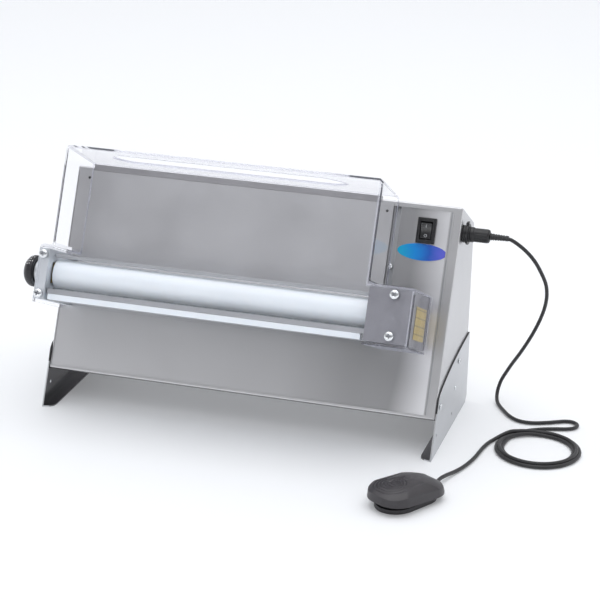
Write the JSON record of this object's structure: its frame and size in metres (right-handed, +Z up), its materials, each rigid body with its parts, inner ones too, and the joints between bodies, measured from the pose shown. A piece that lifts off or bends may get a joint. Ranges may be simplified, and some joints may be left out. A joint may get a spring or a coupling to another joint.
{
  "type": "pasta roller machine",
  "caption": "Bench-top electric dough and pasta sheeter: sloping stainless case on side feet, geared rollers with a gap knob, clear guard with feed slot, rocker switch and foot pedal on a lead",
  "frame": {"origin": "on the table, in the middle of the footprint of the machine with its pedal, without the lead", "axes": "+Z up, +X along the rollers from the gap knob to the drive end, +Y from the roller side to the back"},
  "size_m": [0.832, 0.4518, 0.4029],
  "materials": {
    "stainless": "satin, fine horizontal brushing",
    "cast_alloy": "fine blasted",
    "steel": "machined, bright",
    "roller_plastic": "smooth, semi-gloss food-grade plastic",
    "bearing_brass": "machined",
    "clear_guard": "clear polished sheet with a faint violet-blue cast",
    "black_plastic": "moulded, fine grain",
    "motor_paint": "smooth paint",
    "badge_blue": "glossy domed resin",
    "label_yellow": "printed film",
    "pedal_plastic": "grained, tough plastic",
    "lead_rubber": "smooth flexible sheath"
  },
  "bodies": {
    "machine": {"front_panel": "stainless", "feed_panel": "stainless", "guard_top_rail": "stainless", "rear_cover": "stainless", "bottom_plate": "stainless", "body_shell": "stainless", "left_bracket": "stainless", "right_bracket": "stainless", "left_end_plate": "cast_alloy", "right_gear_housing": "cast_alloy", "upper_rail": "cast_alloy", "scraper_rail": "cast_alloy", "lower_tie_plate": "cast_alloy", "knob_collar": "cast_alloy", "gearbox": "cast_alloy", "front_scraper": "steel", "rear_scraper": "steel", "guard_screw_1": "steel", "guard_screw_2": "steel", "guard_screw_3": "steel", "guard_screw_4": "steel", "left_bracket_screw_1": "steel", "left_bracket_screw_2": "steel", "right_bracket_screw_1": "steel", "right_bracket_screw_2": "steel", "motor_mount": "steel", "drive_chain": "steel", "pedal_hinge_pin": "steel", "pedal_spring": "steel", "scraper_bar": "roller_plastic", "rear_bush_left": "bearing_brass", "rear_bush_right": "bearing_brass", "guard": "clear_guard", "switch_body": "black_plastic", "control_box": "black_plastic", "mains_gland": "black_plastic", "pedal_socket": "black_plastic", "pedal_plug": "black_plastic", "gear_motor": "motor_paint", "badge_plate": "badge_blue", "warning_label": "label_yellow", "pedal_base": "pedal_plastic", "plug_boot": "lead_rubber", "cord_upper": "lead_rubber", "cord_coil": "lead_rubber", "cord_lower": "lead_rubber"},
    "rear_roller_set": {"rear_roller": "roller_plastic", "rear_roller_shaft": "steel", "rear_roller_gear": "steel", "roller_sprocket": "steel"},
    "front_carriage": {"front_bearing_left": "bearing_brass", "front_bearing_right": "bearing_brass"},
    "front_roller_set": {"front_roller": "roller_plastic", "front_roller_shaft": "steel", "front_roller_gear": "steel"},
    "knob": {"gap_knob": "black_plastic", "knob_spindle": "steel"},
    "drive": {"drive_sprocket": "steel"},
    "rocker": {"switch_rocker": "black_plastic"},
    "treadle": {"pedal_treadle": "pedal_plastic"}
  },
  "joints": [
    {"name": "rear_roller_spin", "type": "hinge", "parent": "machine", "child": "rear_roller_set", "pos_m": [-0.0478, 0.01639, 0.19604], "axis": [1, 0, 0], "continuous": true},
    {"name": "gap_slide", "type": "slide", "parent": "machine", "child": "front_carriage", "axis": [0, -0.9114, 0.4115], "range_m": [0, 0.004]},
    {"name": "front_roller_spin", "type": "hinge", "parent": "front_carriage", "child": "front_roller_set", "pos_m": [-0.0478, -0.02243, 0.21357], "axis": [1, 0, 0], "continuous": true},
    {"name": "drive_spin", "type": "hinge", "parent": "machine", "child": "drive", "pos_m": [0.2262, 0.12221, 0.115], "axis": [1, 0, 0], "continuous": true},
    {"name": "knob_turn", "type": "hinge", "parent": "machine", "child": "knob", "pos_m": [-0.3108, -0.02426, 0.2144], "axis": [1, 0, 0], "range_deg": [0, 120]},
    {"name": "rocker_tilt", "type": "hinge", "parent": "machine", "child": "rocker", "pos_m": [0.239, 0.10511, 0.30213], "axis": [1, 0, 0], "range_deg": [-18, 0]},
    {"name": "treadle_press", "type": "hinge", "parent": "machine", "child": "treadle", "pos_m": [0.3074, -0.13601, 0.0124], "axis": [0.8572, -0.515, 0], "range_deg": [0, 4], "stiffness_Nm_per_rad": 4, "springref_deg": -5.73, "deforming": ["pedal_spring"]}
  ],
  "couplings": [
    {"joint": "front_roller_spin", "follows": "rear_roller_spin", "ratio": -1},
    {"joint": "drive_spin", "follows": "rear_roller_spin", "ratio": 0.8},
    {"joint": "knob_turn", "follows": "gap_slide", "rad_per_m": 523.59}
  ]
}
